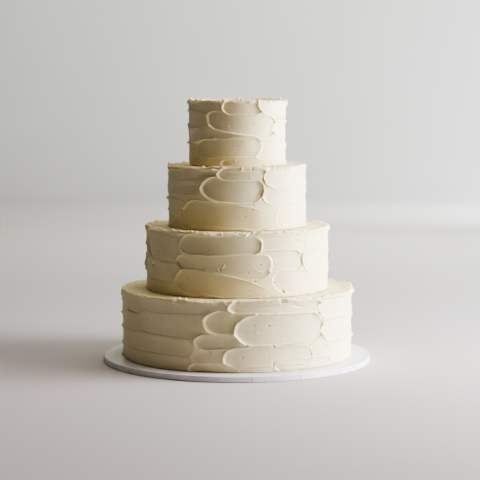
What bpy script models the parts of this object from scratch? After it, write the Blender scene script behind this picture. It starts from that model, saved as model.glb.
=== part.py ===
"""Four-tier wedding cake in spatula-finished buttercream, on its wrapped board.

Each tier is a turned solid. Overlapping spatula strokes are then pressed into its side:
every stroke is a shallow trough with round ends and a raised lip of buttercream round it,
and a later stroke wipes away what it covers. Metres, +Z up, the board's underside at Z = 0
and the cake's axis on Z. The front of the cake faces -Y.
"""
import math
import random
from collections import namedtuple

import bpy
import numpy as np

# ---- driving dimensions -------------------------------------------------------------------
MM = 0.001
GAP = 0.3 * MM                      # clearance kept between pieces that touch

BOARD_RADIUS = 152.4 * MM
BOARD_THICKNESS = 6.4 * MM
BOARD_CHAMFER = 1.2 * MM
BOARD_SEGMENTS = 96

# from the bottom tier to the top one
TIER_RADII = (131.5 * MM, 104.1 * MM, 78.9 * MM, 55.3 * MM)
TIER_TOPS = (82.9 * MM, 154.1 * MM, 223.1 * MM, 296.7 * MM)
TIER_SEGMENTS = (96, 80, 64, 48)    # columns round each tier
ROW_HEIGHT = 7.4 * MM               # height of a grid row on a tier's side

SHOULDER_DROP = 1.6 * MM            # from a tier's top down to where its side begins
SHOULDER_ROUND = 1.0 * MM           # how far in the point between side and top lies
SHOULDER_POINT = 0.4 * MM           # and how far down from the top
FOOT_RISE = 1.4 * MM                # from a tier's underside up to where its side begins
FOOT_INSET = 0.9 * MM               # how far in the underside's edge lies

RIM_INSET = 3.4 * MM                # from the side to the crest of the top rim
RIM_BACK = 2.4                      # how far in the rim ends, over its inset
RIM_RISE = 1.0 * MM                 # mean height of that crest over the flat top
RIM_UNEVEN = 0.7 * MM               # how far the crest wanders up and down
RIM_WAVES = (3, 5, 8, 13)           # waves round the rim that make up that unevenness
LEDGE_DIP = 0.5 * MM                # hollow of the ledge inside the crest
SEAT_MARGIN = 4.0 * MM              # flat seat past the side of the tier that stands on it

STROKE_DEPTH = 1.5 * MM             # trough depth of an ordinary stroke
STROKE_TAPER = 1.6 * MM             # width of the slope at a stroke's edge
LIP_HEIGHT = 1.1 * MM               # lip of buttercream pushed up round a stroke
LIP_REACH = 2.6 * MM                # how far that lip spreads
LEFT_END = 1.4                      # length of a stroke's left end over its half width
RIGHT_END = 1.0                     # the same at its right end
STROKE_STEP = 21.0 * MM             # spacing of the rows of strokes round the back
HAND_LAID = 68.0                    # degrees each side of the front with strokes set by hand

# A stroke runs from the left angle to the right one, in degrees from the front towards +X. Its
# middle heights over the tier's foot and its widths at both ends are in millimetres; bow is how
# far its middle line bulges up half way, and ridge the height of its lip against other strokes.
Stroke = namedtuple(
    "Stroke", "left right left_height right_height left_width right_width bow ridge",
    defaults=(0.0, 1.0),
)

FRONT_STROKES = (
    (   # bottom tier
        Stroke(-104, -57, 45, 44, 27, 25, 0, 0.3),
        Stroke(-92, -21, 9, 8, 15, 14, 0, 0.35),
        Stroke(-98, -20.5, 27, 24.5, 21, 18.5, 0, 0.4),
        Stroke(-95, -3.5, 67, 69.5, 22, 12, 0, 0.15),
        Stroke(-57.5, -10, 50.3, 45.2, 24.6, 23, 0.5, 0.4),
        Stroke(44, 98, 41, 38, 25, 22, 0, 0.9),
        Stroke(42.3, 95, 65.5, 61, 23, 21, 0, 1.05),
        Stroke(-23.5, 13, 3, 4, 15, 13, 0, 1.2),
        Stroke(18, 58, 6, 5, 14, 13, 0, 1.4),
        Stroke(-6.8, 38, 17.3, 17.6, 21.5, 20, 0, 1.4),
        Stroke(48.2, 100, 16.5, 14, 22, 20, 0, 0.75),
        Stroke(-20.5, 6, 32.8, 34.4, 17.5, 14, 0, 1.4),
        Stroke(-16, 10, 54.6, 55.5, 25.5, 24, 0, 1.4),
        Stroke(-1.2, 45, 46.4, 47, 34.5, 31, 0, 1.4),
        Stroke(-4, 43.5, 70.5, 69, 12, 12.5, 0, 1.4),
    ),
    (   # second tier
        Stroke(-92, -62, 62, 60, 20, 20, 0, 0.5),
        Stroke(-84, -36, 29, 28, 20, 18, 0, 0.3),
        Stroke(-88, -18, 8, 7, 15, 14, 0, 0.3),
        Stroke(-62, -26, 66, 67, 14, 12, 0, 0.3),
        Stroke(-74, -36, 55.5, 52, 33, 24, 0, 0.35),
        Stroke(4, 66, 63, 61, 19, 17, 0, 0.6),
        Stroke(8, 44, 41.5, 39.5, 25, 22, 0, 1.3),
        Stroke(46, 92, 61, 58, 20, 20, 0, 0.75),
        Stroke(21.5, 66, 18, 12, 27, 28, 0, 0.4),
        Stroke(54, 98, 13, 14, 20, 22, 0, 0.75),
        Stroke(43.3, 90, 38, 33, 30, 27, 0, 0.9),
        Stroke(-42, 21.3, 38, 34, 22, 31, 0, 1.15),
        Stroke(-40.5, 22, 17.5, -5, 27, 24, 8, 1.4),
        Stroke(-37.3, 15, 57.8, 58.2, 22.8, 18.8, 0.6, 1.4),
    ),
    (   # third tier
        Stroke(-90, -17, 62.5, 63, 15, 14, 0, 0.3),
        Stroke(-88, -29.5, 47.5, 46.3, 19, 12, 0, 0.45),
        Stroke(-98, -46, 25, 24, 21, 19, 0, 0.3),
        Stroke(20.3, 80, 40, 38, 19, 18, 0, 0.7),
        Stroke(32.5, 86, 15.5, 14, 26, 26, 0, 0.45),
        Stroke(-50.5, 21, 16.5, 11, 29.5, 25, 5, 1.3),
        Stroke(-29.8, 21.6, 46.8, 43.8, 28.6, 27, 0.4, 1.4),
        Stroke(-16.2, 24.5, 63.8, 61.8, 13.6, 13, 0, 1.2),
        Stroke(21.8, 78, 59.5, 57.5, 25, 24, 0, 1.3),
    ),
    (   # top tier
        Stroke(-100, -4, 38, 37, 13, 12, 0, 0.2),
        Stroke(-64, -15, 67, 67.5, 14, 13, 0, 0.3),
        Stroke(-96, -34, 54.5, 53, 25, 15, 0, 0.35),
        Stroke(-98, -50, 18, 18, 22, 20, 0, 0.3),
        Stroke(18, 94, 19, 17, 23, 22, 0, 0.75),
        Stroke(44, 99, 44, 42, 22, 20, 0, 0.9),
        Stroke(-19.5, 6, 5.5, 5, 6.5, 7, 0, 0.7),
        Stroke(-54, 29.5, 20.8, 22.5, 20.5, 22.5, 0.4, 1.2),
        Stroke(-37.5, 49, 54.8, 45, 20.5, 24.5, -1.8, 1.4),
        Stroke(-17.3, 30, 66.6, 68, 17.5, 20),
        Stroke(25, 94, 70.5, 64.5, 20, 24, 0, 1.3),
    ),
)
BACK_SEEDS = (11, 23, 37, 53)       # one for each tier, from the bottom one up

TIER_SHARP_ANGLE = 50.0             # degrees between faces from which an edge is drawn sharp
BOARD_SHARP_ANGLE = 30.0
MERGE_DISTANCE = 0.01 * MM          # points of a turned solid closer than this are joined

WRAPPING_COLOUR = (0.80, 0.78, 0.80)
WRAPPING_ROUGHNESS = 0.38
BUTTERCREAM_COLOUR = (0.86, 0.78, 0.60)
BUTTERCREAM_ROUGHNESS = 0.52


def smoothstep(low, high, value):
    """Ease from 0 at low to 1 at high."""
    share = np.clip((value - low) / (high - low), 0.0, 1.0)
    return share * share * (3.0 - 2.0 * share)


def back_strokes(seed, radius, height):
    """Rows of overlapping strokes round the back, from the right of the front to its left."""
    draw = random.Random(seed)
    per_degree = math.radians(1.0) * radius / MM
    rows = max(2, round(height / STROKE_STEP))
    step = height / MM / rows
    strokes = []
    for row in range(rows):
        level = (row + 0.5) * step
        angle = HAND_LAID + draw.uniform(-4.0, 14.0)
        while angle < 360.0 - HAND_LAID:
            length = draw.uniform(48.0, 96.0)
            width = step * draw.uniform(0.95, 1.42)
            start = level + draw.uniform(-4.0, 4.0)
            end = start + draw.uniform(-6.0, 5.0)
            strokes.append(Stroke(angle, angle + length / per_degree, start, end, width, width))
            angle += (length - draw.uniform(8.0, 24.0)) / per_degree
    draw.shuffle(strokes)
    return strokes


def edge_distance(stroke, radius, degrees, rise):
    """Distance inside (+) or outside (-) a stroke's round-ended outline, and its half width."""
    per_degree = math.radians(1.0) * radius
    length = (stroke.right - stroke.left) * per_degree
    along = ((degrees - stroke.left + 180.0) % 360.0 - 180.0) * per_degree
    share = np.clip(along / length, 0.0, 1.0)
    middle = stroke.left_height + (stroke.right_height - stroke.left_height) * share
    middle = middle + 4.0 * stroke.bow * share * (1.0 - share)
    across = rise - middle * MM
    half = (stroke.left_width + (stroke.right_width - stroke.left_width) * share) * MM / 2.0
    straight_from = stroke.left_width * MM / 2.0 * LEFT_END
    straight_to = max(length - stroke.right_width * MM / 2.0 * RIGHT_END, straight_from)
    before = np.maximum(straight_from - along, 0.0) / LEFT_END
    after = np.maximum(along - straight_to, 0.0) / RIGHT_END
    return half - np.hypot(before + after, across), half


def stroke_relief(strokes, radius, degrees, rise):
    """Outward relief of a tier's side at angles and heights, stroke laid over stroke."""
    relief = np.zeros_like(degrees)
    for stroke in strokes:
        inside, half = edge_distance(stroke, radius, degrees, rise)
        share = np.clip(inside / half, 0.0, 1.0)
        floor = -STROKE_DEPTH * share * (2.0 - share)
        covered = smoothstep(-STROKE_TAPER / 2.0, STROKE_TAPER / 2.0, inside)
        relief = relief + (floor - relief) * covered
        relief = relief + LIP_HEIGHT * stroke.ridge * np.exp(-(inside / LIP_REACH) ** 2)
    return relief


def material(name, colour, roughness):
    """A Principled material without metal."""
    made = bpy.data.materials.new(name)
    made.use_nodes = True
    shader = made.node_tree.nodes["Principled BSDF"]
    shader.inputs["Base Color"].default_value = (*colour, 1.0)
    shader.inputs["Roughness"].default_value = roughness
    made.diffuse_color = (*colour, 1.0)
    return made


def turned(name, profile, segments, finish, collection):
    """A solid of revolution: a profile of (radius, height) points with a Screw modifier."""
    mesh = bpy.data.meshes.new(name)
    points = [(radius, 0.0, height) for radius, height in profile]
    mesh.from_pydata(points, [(i, i + 1) for i in range(len(points) - 1)], [])
    piece = bpy.data.objects.new(name, mesh)
    collection.objects.link(piece)
    screw = piece.modifiers.new("turn", "SCREW")
    screw.steps = segments
    screw.render_steps = segments
    screw.use_merge_vertices = True
    screw.merge_threshold = MERGE_DISTANCE
    screw.use_smooth_shade = True
    mesh.materials.append(finish)
    return piece


def fixed_mesh(piece):
    """Apply a piece's modifiers, so that its points can be moved one by one."""
    bpy.context.view_layer.update()
    evaluated = piece.evaluated_get(bpy.context.evaluated_depsgraph_get())
    mesh = bpy.data.meshes.new_from_object(evaluated)
    mesh.name = piece.name
    plain = piece.data
    piece.modifiers.clear()
    piece.data = mesh
    bpy.data.meshes.remove(plain)
    return mesh


def rim_wave(degrees, seed):
    """Slow uneven rise and fall of a rim, between -1 and 1, the same at 0 and 360 degrees."""
    draw = random.Random(seed)
    wave = np.zeros_like(degrees)
    for turns in RIM_WAVES:
        wave = wave + np.sin(np.radians(degrees) * turns + draw.uniform(0.0, math.tau))
    return wave / len(RIM_WAVES)


def tier_profile(radius, foot, top, seat_radius):
    """Half section of a tier from the middle of its top, down its side, to its underside."""
    rows = round((top - foot) / ROW_HEIGHT)
    upper = top - SHOULDER_DROP
    lower = foot + FOOT_RISE
    side = [(radius, upper + (lower - upper) * row / rows) for row in range(rows + 1)]
    ledge = []
    if seat_radius > 0.0:
        ledge = [(seat_radius, top)]
    return (
        [(0.0, top)]
        + ledge
        + [(radius - RIM_BACK * RIM_INSET, top), (radius - RIM_INSET, top)]
        + [(radius - SHOULDER_ROUND, top - SHOULDER_POINT)]
        + side
        + [(radius - FOOT_INSET, foot), (0.0, foot)]
    )


def make_tier(index, finish, collection):
    """One tier, its side carrying the strokes and its top edge an uneven rim."""
    radius = TIER_RADII[index]
    foot = (TIER_TOPS[index - 1] if index else BOARD_THICKNESS) + GAP
    top = TIER_TOPS[index]
    topmost = index == len(TIER_RADII) - 1
    seat_radius = 0.0 if topmost else TIER_RADII[index + 1] + SEAT_MARGIN
    piece = turned(
        f"tier_{index + 1}",
        tier_profile(radius, foot, top, seat_radius),
        TIER_SEGMENTS[index],
        finish,
        collection,
    )
    mesh = fixed_mesh(piece)

    points = np.empty(len(mesh.vertices) * 3, dtype=np.float32)
    mesh.vertices.foreach_get("co", points)
    points = points.reshape(-1, 3).astype(float)
    from_axis = np.hypot(points[:, 0], points[:, 1])
    degrees = np.degrees(np.arctan2(points[:, 0], -points[:, 1]))
    rise = points[:, 2] - foot

    strokes = back_strokes(BACK_SEEDS[index], radius, top - foot)
    strokes.extend(FRONT_STROKES[index])
    relief = stroke_relief(strokes, radius, degrees, rise)
    outer = smoothstep(radius - 2.0 * SHOULDER_ROUND, radius - 0.5 * SHOULDER_ROUND, from_axis)
    scale = np.divide(
        from_axis + relief * outer, from_axis, out=np.ones_like(from_axis), where=from_axis > 0.0
    )

    crest = smoothstep(-RIM_BACK * RIM_INSET, 0.0, from_axis - radius + RIM_INSET)
    crest = crest * smoothstep(0.0, RIM_INSET, radius - from_axis)
    lift = (RIM_RISE + RIM_UNEVEN * rim_wave(degrees, BACK_SEEDS[index])) * crest
    at_top = smoothstep(top - SHOULDER_DROP, top - SHOULDER_POINT, points[:, 2])
    hollow = smoothstep(-LEDGE_DIP, LEDGE_DIP, from_axis - seat_radius) * (1.0 - crest)
    points[:, 2] += (lift - LEDGE_DIP * hollow * (from_axis > seat_radius)) * at_top
    points[:, 0] *= scale
    points[:, 1] *= scale
    mesh.vertices.foreach_set("co", points.ravel())
    mesh.update()
    mesh.shade_smooth()
    mesh.set_sharp_from_angle(angle=math.radians(TIER_SHARP_ANGLE))
    return piece


def make_board(finish, collection):
    """The wrapped drum board: a disc with softened edges."""
    shoulder = BOARD_RADIUS - BOARD_CHAMFER
    profile = [
        (0.0, BOARD_THICKNESS),
        (shoulder, BOARD_THICKNESS),
        (BOARD_RADIUS, BOARD_THICKNESS - BOARD_CHAMFER),
        (BOARD_RADIUS, BOARD_CHAMFER),
        (shoulder, 0.0),
        (0.0, 0.0),
    ]
    board = turned("cake_board", profile, BOARD_SEGMENTS, finish, collection)
    mesh = fixed_mesh(board)
    mesh.set_sharp_from_angle(angle=math.radians(BOARD_SHARP_ANGLE))
    return board


def main():
    for old in list(bpy.data.objects):
        bpy.data.objects.remove(old, do_unlink=True)
    cake = bpy.data.collections.new("tiered_wedding_cake")
    bpy.context.scene.collection.children.link(cake)
    wrapping = material("white_board_wrapping", WRAPPING_COLOUR, WRAPPING_ROUGHNESS)
    buttercream = material("ivory_buttercream", BUTTERCREAM_COLOUR, BUTTERCREAM_ROUGHNESS)
    make_board(wrapping, cake)
    for index in range(len(TIER_RADII)):
        make_tier(index, buttercream, cake)


main()
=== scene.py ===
"""Four-tier wedding cake in spatula-finished buttercream, on its wrapped board.

The script is laid out as an add-on and run as a script. It builds the visible surfaces round
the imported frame: each tier is a turned surface with overlapping spatula strokes in its side,
a torn rim and a swept top, and the board is a drum wrapped in paper that is pleated round its
edge. Metres, +Z up, the front of the cake faces -Y. Strokes, nubs and pits are listed in
degrees from the front and in millimetres, and relief is worked out in millimetres.
"""

import math
import random
from collections import namedtuple

import bpy
import numpy as np
from bpy.props import FloatProperty, FloatVectorProperty, IntProperty, PointerProperty
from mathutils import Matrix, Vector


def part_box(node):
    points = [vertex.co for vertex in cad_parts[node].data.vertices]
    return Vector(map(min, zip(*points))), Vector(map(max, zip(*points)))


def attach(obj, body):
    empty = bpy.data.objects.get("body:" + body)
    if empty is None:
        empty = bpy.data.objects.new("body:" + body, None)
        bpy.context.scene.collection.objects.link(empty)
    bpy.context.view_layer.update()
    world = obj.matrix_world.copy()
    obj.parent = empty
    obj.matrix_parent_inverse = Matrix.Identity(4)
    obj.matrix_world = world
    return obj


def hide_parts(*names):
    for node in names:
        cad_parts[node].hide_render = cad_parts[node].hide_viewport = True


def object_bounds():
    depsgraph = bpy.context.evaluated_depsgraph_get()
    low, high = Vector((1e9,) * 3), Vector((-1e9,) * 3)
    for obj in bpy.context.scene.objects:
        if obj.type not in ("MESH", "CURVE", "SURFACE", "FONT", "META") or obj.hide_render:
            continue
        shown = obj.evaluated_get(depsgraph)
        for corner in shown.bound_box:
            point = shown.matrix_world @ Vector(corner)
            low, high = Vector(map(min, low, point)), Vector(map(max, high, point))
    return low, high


bl_info = {
    "name": "Tiered Wedding Cake",
    "version": (1, 0, 0),
    "blender": (4, 5, 0),
    "location": "View3D > Sidebar > Cake",
    "description": "Builds a tiered buttercream wedding cake and its board round a packed frame",
    "category": "Add Mesh",
}

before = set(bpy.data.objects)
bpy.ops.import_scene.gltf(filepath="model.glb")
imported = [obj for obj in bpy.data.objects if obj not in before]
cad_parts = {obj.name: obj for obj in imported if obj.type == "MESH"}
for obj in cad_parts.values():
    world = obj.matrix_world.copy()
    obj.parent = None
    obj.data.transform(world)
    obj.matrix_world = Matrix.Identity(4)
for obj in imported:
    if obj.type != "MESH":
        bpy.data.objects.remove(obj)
CAD_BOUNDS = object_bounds()

MM = 0.001
TIERS = sorted(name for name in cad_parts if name.startswith("tier_"))

# ---- strokes ----
# A stroke runs from the left angle to the right one, in degrees from the front towards +X.
# Its middle heights over the tier's foot and its widths at both ends are in millimetres, and
# bow is how far its middle line bulges up half way, tilt how far its upper edge leans out, ridge
# the height of its lip against other strokes, finish how distinct its right end is, and bowl how
# gently its left end rises to the lip.
Stroke = namedtuple(
    "Stroke",
    "left right left_height right_height left_width right_width bow tilt ridge finish bowl",
    defaults=(0.0, 0.0, 1.0, 0.6, 0.0),
)
# A nub stands out of the side and a pit, an air bubble, is sunk in it. A stretched pit is a
# crack; turn is how far in degrees it climbs towards the right.
Spot = namedtuple("Spot", "angle rise size height stretch turn", defaults=(1.0, 0.0))

# Strokes and spots listed one by one round the front, as rows of their fields for each tier.
FRONT_STROKES = (
    (   # bottom tier
        (-104, -48, 45, 44.5, 27, 25, 0, 0, 0.3, 0),
        (-92, -21, 9, 8, 15, 14, 0, 0.3, 0.35),
        (-98, -20.5, 27, 24.5, 21, 18.5, 0, 0.3, 0.4, 1),
        (-95, -3.5, 67, 69.5, 22, 12, 0, 1.3, 0.15, 1),
        (-57.5, -10, 50.3, 45.2, 24.6, 23, 0.5, 0.5, 0.4, 1, 0.7),
        (44, 98, 41, 38, 25, 22, 0, 0, 0.9),
        (42.3, 95, 65.5, 61, 23, 21, 0, 0, 1.05),
        (-23.5, 13, 3, 4, 15, 13, 0, 0, 1.2, 0, 1),
        (18, 58, 6, 5, 14, 13, 0, 0, 1.5, 0.3),
        (-6.8, 38, 17.3, 17.6, 21.5, 20, 0, 0, 1.8, 0.3, 1),
        (48.2, 100, 16.5, 14, 22, 20, 0, 0, 0.75),
        (-20.5, 6, 32.8, 34.4, 17.5, 14, 0, 0.4, 1.7, 0.5, 1),
        (-16, 10, 54.6, 55.5, 25.5, 24, 0, 0, 2.0, 1, 1),
        (-1.2, 45, 46.4, 47, 34.5, 31, 0, 0, 2.4, 0.6, 1),
        (-4, 43.5, 70.5, 69, 12, 12.5, 0, 0.3, 1.8, 0.6, 1),
    ),
    (   # second tier
        (-92, -62, 62, 60, 20, 20, 0, 0, 0.5),
        (-84, -36, 29, 28, 20, 18, 0, 0, 0.3),
        (-88, -18, 8, 7, 15, 14, 0, 0, 0.3),
        (-62, -26, 66, 67, 14, 12, 0, 1.0, 0.3),
        (-74, -36, 55.5, 52, 33, 24, 0, 0.2, 0.6, 1),
        (4, 66, 63, 61, 19, 17, 0, 0, 0.6),
        (8, 44, 41.5, 39.5, 25, 22, 0, 0, 1.3, 1),
        (46, 92, 61, 58, 20, 20, 0, 0, 0.4),
        (21.5, 66, 18, 12, 27, 28, 0, 0, 0.25),
        (54, 98, 13, 14, 20, 22, 0, 0, 0.4),
        (43.3, 90, 38, 33, 30, 27, 0, 0, 0.9),
        (-39.5, 21.3, 38.5, 34, 18, 31, 0, 0.1, 0.9, 0.8, 0.4),
        (-40.5, 22, 17.5, -5, 27, 24, 8, 0, 1.5, 0.1, 0.5),
        (-37.3, 15, 57.8, 58.2, 22.8, 18.8, 0.6, 0.1, 1.7, 1, 0.6),
    ),
    (   # third tier
        (-90, -17, 62.5, 63, 15, 14, 0, 1.1, 0.3, 1),
        (-88, -29.5, 47.5, 46.3, 19, 12, 0, 0.3, 0.45, 1),
        (-98, -46, 25, 24, 21, 19, 0, 0, 0.3),
        (20.3, 80, 40, 38, 19, 18, 0, 0, 0.7),
        (32.5, 86, 15.5, 14, 26, 26, 0, 0, 0.25),
        (-50.5, 23, 16.5, 9, 29.5, 25, 6, 0, 1.3, 0, 0.4),
        (-29.8, 21.6, 46.8, 43.8, 28.6, 27, 0.4, 0.2, 1.6, 1, 0.5),
        (-15.6, 24.5, 63.3, 61.8, 13, 13, 0, 0.3, 0.9, 0.7),
        (21.8, 78, 59.5, 57.5, 25, 24, 0, 0, 1.3),
    ),
    (   # top tier
        (-100, -4, 38, 37, 13, 12, 0, 0.6, 0.2, 0.8),
        (-64, -15, 67, 67.5, 14, 13, 0, 1.2, 0.3, 1),
        (-96, -34, 54.5, 53, 25, 15, 0, 0.4, 0.35, 1),
        (-98, -50, 18, 18, 22, 20, 0, 0, 0.3),
        (18, 94, 19, 17, 23, 22, 0, 0, 0.75),
        (44, 99, 44, 42, 22, 20, 0, 0, 0.9),
        (-19.5, 6, 5.5, 5, 6.5, 7, 0, 0, 0.7, 0),
        (-54, 29.5, 20.8, 22.5, 20.5, 22.5, 0.4, 0.1, 1.3, 1, 0.4),
        (-37.5, 49, 54.8, 45, 20.5, 24.5, -1.8, 0, 1.9, 0.6, 0.4),
        (-17.3, 30, 66.6, 68, 17.5, 20, 0, 0.4, 1.0, 0.8),
        (25, 94, 70.5, 64.5, 20, 24, 0, -0.4, 1.3),
    ),
)
FRONT_SPOTS = (
    (   # bottom tier
        (-12, 22, 1.5, 1.1), (0.5, 1.5, 1.6, 1.2), (19.5, 64.5, 1.2, 0.9),
        (42.6, 62, 0.9, -1.9, 6, 85), (44.9, 51.5, 0.8, -1.8, 5, -42),
        (43.6, 44, 1.0, -1.2, 4, 88), (22, 75, 1.0, -1.8, 3.5, -4),
        (29.5, 70.8, 0.9, -1.3, 6, -12), (-3.5, 75, 0.9, -1.4, 3, 8),
        (17.3, 8, 1.1, -2.2, 2.4, 74), (22, 1.6, 0.9, -1.8, 5, -14), (50, 9, 0.9, -1.9, 4, -42),
        (19.5, 76.8, 0.8, 1.0, 5, 3), (-1.8, 50, 1.0, -1.2, 6, 80), (-8, 1.2, 0.8, 1.6),
        (-20.5, 1.5, 0.9, 1.3, 3), (-7, 60, 0.77, -1.19), (8, 51.5, 0.77, -1.02),
        (15, 50.5, 0.85, -1.36), (20, 54.5, 0.77, -0.85), (2.5, 17, 0.85, -1.53),
        (15, 15, 0.77, -0.85), (37.5, 16.5, 1.1, -1.7), (36.5, 26, 1.02, -1.36),
        (24, 29, 0.94, -1.02), (17, 28.5, 1.02, -1.53), (4.5, 30.3, 1.1, -3.2),
        (-44, 29, 0.85, -1.02), (46, 60, 0.9, 0.5), (12, 29.5, 1, 0.6), (-84, 71, 1.6, 1.75),
        (-89, 64, 1.6, 1.62), (-85, 50, 1.4, 2.75), (-90, 33, 2, 2.12), (-83, 17, 1.3, 1.5),
        (88, 22, 1.6, 1.38), (84, 47, 1.8, 1.5),
    ),
    (   # second tier
        (-19, 31.5, 1.2, 0.9), (-11.5, 31.5, 1.1, 1), (-8.6, 35, 1.2, 1), (-10.4, 32, 0.9, -2.4),
        (42.8, 41.5, 1.3, -3.4, 4.4, 88), (29.2, 6.5, 1.0, -2.0, 2.2, 112),
        (21, 1.4, 0.8, -1.5, 4.5), (13.4, 54.5, 0.9, -1.0, 2.5, 70), (12.5, 1.6, 1.0, 0.8, 3),
        (-8, 37, 0.8, 0.7), (14.3, 37, 0.77, -1.53), (39, 69, 0.85, -1.36), (32, 70, 1, 0.6),
        (40, 62, 0.94, -1.53), (45, 56, 0.85, -1.02), (29, 6.5, 1.1, -1.87),
        (10, 20, 1.02, -1.36), (22.5, 17, 0.94, -1.36), (-65, 32, 1.87, -2.72),
        (19.5, 30, 1.2, 0.8), (-85, 53, 1.8, 2), (-90, 38, 1.4, 2.25), (-86, 23, 1.4, 2),
        (87, 30, 2, 1.38),
    ),
    (   # third tier
        (-5.5, 64.5, 1.1, 0.7), (-50.5, 22.5, 1.27, -2.04), (11.5, 24, 0.94, -1.53),
        (12.5, 29, 0.85, -1.36), (55.5, 59, 1.1, -1.7), (12, 68, 1.1, -1.19),
        (22.5, 35.5, 1.2, 0.9), (21.4, 60.5, 0.9, -1.7, 3.4, 74), (38, 4.5, 0.8, -1.0, 3, -25),
        (-18.5, 66.5, 0.8, 1.0, 3.5, -38), (-89, 47, 1.5, 2), (-85, 33, 1.9, 2.38),
        (-90, 20, 1.4, 1.88), (-84, 60, 1.3, 1.12), (87, 41, 1.8, 1.25),
    ),
    (   # top tier
        (-27, 32.5, 1.6, 1.2), (9, 47, 0.77, -0.85), (4.5, 28, 0.85, -1.02),
        (31, 2.5, 1.19, -1.36), (-19, 6.5, 1.6, 0.6), (-91, 63, 1.5, 1.5), (-87, 47, 1.9, 2.25),
        (-92, 26, 1.4, 2.12), (86, 22, 2, 1.38), (91, 50, 1.6, 1.25), (87, 62, 2, 1),
    ),
)
SEEDS = (11, 23, 37, 53)  # one for each tier, from the bottom one up
SEED_SPACE = 100  # seeds of noise for each of those
SEED_STEP = 10  # between one stroke's noise and the next one's
NOISE_KNOTS = (997, 61)  # knots before the noise repeats, across and up

LEFT_END = 1.4  # length of a stroke's left end over its half width
RIGHT_END = 1.0  # the same at its right end
LIP_REACH = 1.4  # how far a stroke's lip slopes away from it
WALL_REACH = 1.2  # how far in a stroke reaches its floor
MOUND_REACH = 8.0  # how far the cream behind the lip is lifted
MOUND_SHARE = 0.25  # its height over the lip's, more where there is a bowl
BOWL_REACH = 11.0  # how far in a gentle left end reaches
BOWL_RISE = 1.5  # how high that end rises
RIGHT_REACH = 8.0  # how far in the slope at a right end reaches
RIGHT_RISE = 1.1  # its height over the stroke's depth
ENTRY_REACH = 16.0  # how far in the deeper first touch reaches
FADE_FROM = 26.0  # where an indistinct right end starts to fade, before it,
FADE_TO = 3.0  # and where it has faded
SIDE_HOLLOW = 0.6  # how much shallower its edges are
STROKE_TILTS = (-0.12, 0.38)  # how far a stroke's upper edge leans out
STROKE_LEANS = (-0.05, 0.3)  # how far its right end leans out
LIP_STRENGTHS = (0.8, 1.2)
END_SLANTS = (-0.22, 0.22)  # how far its ends lean out of the upright

HAND_LAID = 68.0  # degrees each side of the front with strokes listed one by one
STROKE_STEP = 21.0  # spacing of the rows of strokes round the back
BACK_LENGTHS = (48.0, 96.0)  # of those strokes
BACK_WIDTHS = (0.95, 1.42)  # over the spacing of their rows
BACK_OVERLAPS = (8.0, 24.0)  # of one stroke and the next
TYPICAL_TROUGH = 0.94  # how far the middle of the solids' relief is sunk in the side
SIDE_FROM = 3  # height over a solid's foot where that relief starts
SIDE_TO = 6  # and how far below its top it ends
SIDE_DEEPEST = 6  # and how far in from its widest it goes at most
LOWEST_SPOT = 3.0  # rise of the lowest of the nubs and pits scattered over a side
SIDE_NUBS = 14
NUB_SIZES = (0.9, 1.5)
NUB_HEIGHTS = (0.4, 0.95)
SIDE_PITS = 34
PIT_SIZES = (0.7, 1.05)
PIT_HEIGHTS = (-0.35, -0.8)


# ---- settings ----
def colour_setting(name, description, default):
    """A colour that a user can change."""
    return FloatVectorProperty(name=name, description=description, default=default,
                               subtype="COLOR", size=3, min=0.0, max=1.0)


def length_setting(name, description, default, least):
    """A length in metres."""
    return FloatProperty(name=name, description=description, default=default, min=least,
                         unit="LENGTH", subtype="DISTANCE")


def power_setting(name, description, default):
    """A light's power in watts."""
    return FloatProperty(name=name, description=description, default=default, min=0.0,
                         unit="POWER")


class CakeButtercreamSettings(bpy.types.PropertyGroup):
    """Sizes and colours of the buttercream."""

    grid: length_setting(
        "Surface Grid",
        "Spacing of the points of a tier's side, the finest one, on the bottom tier",
        0.00055, 0.0004)
    depth: FloatProperty(
        name="Stroke Depth",
        description="How deep in millimetres a spatula stroke is pressed",
        default=1.25, min=0.0)
    lip: FloatProperty(
        name="Lip Height",
        description="Height in millimetres of the lip pushed up round a stroke",
        default=1.4, min=0.0)
    rim: FloatProperty(
        name="Rim Height",
        description="Height in millimetres of the torn rim round a tier's top",
        default=1.0, min=0.0)
    colour: colour_setting("Buttercream", "Colour of the buttercream", (0.875, 0.798, 0.553))
    roughness: FloatProperty(
        name="Roughness",
        description="How dull the buttercream is",
        default=0.5, min=0.0, max=1.0, subtype="FACTOR")
    translucency: length_setting(
        "Light Depth", "How far red light travels inside the buttercream", 0.0018, 0.0)


class CakeBoardSettings(bpy.types.PropertyGroup):
    """Sizes and colours of the wrapped board."""

    pleats: IntProperty(
        name="Pleats",
        description="Number of folds of the wrapping round the board's edge",
        default=37, min=3)
    colour: colour_setting("Wrapping", "Colour of the wrapping paper", (0.86, 0.845, 0.885))


class CakeStageSettings(bpy.types.PropertyGroup):
    """The floor and the lights."""

    floor_colour: colour_setting("Floor", "Colour of the floor and the backdrop", (0.6, 0.6, 0.6))
    key_power: power_setting(
        "Key Light", "Power of the large soft light low on the right", 14.1)
    top_power: power_setting(
        "Top Light", "Power of the soft light straight above the cake", 6.05)
    backdrop_power: power_setting(
        "Backdrop Light", "Power of the lights that wash the backdrop behind the cake", 23.4)


# ---- numbers over a surface ----
def clamp(value):
    """The value kept between 0 and 1."""
    return np.clip(value, 0.0, 1.0)


def slope(value, reach):
    """From 1 where the value is 0 down to 0 where it is the reach."""
    return clamp(1.0 - value / reach)


def smoothstep(low, high, value):
    """Ease from 0 at low to 1 at high."""
    share = clamp((value - low) / (high - low))
    return share * share * (3.0 - 2.0 * share)


def degrees_from(degrees, angle):
    """How far round from an angle, between -180 and 180."""
    return (degrees - angle + 180.0) % 360.0 - 180.0


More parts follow.
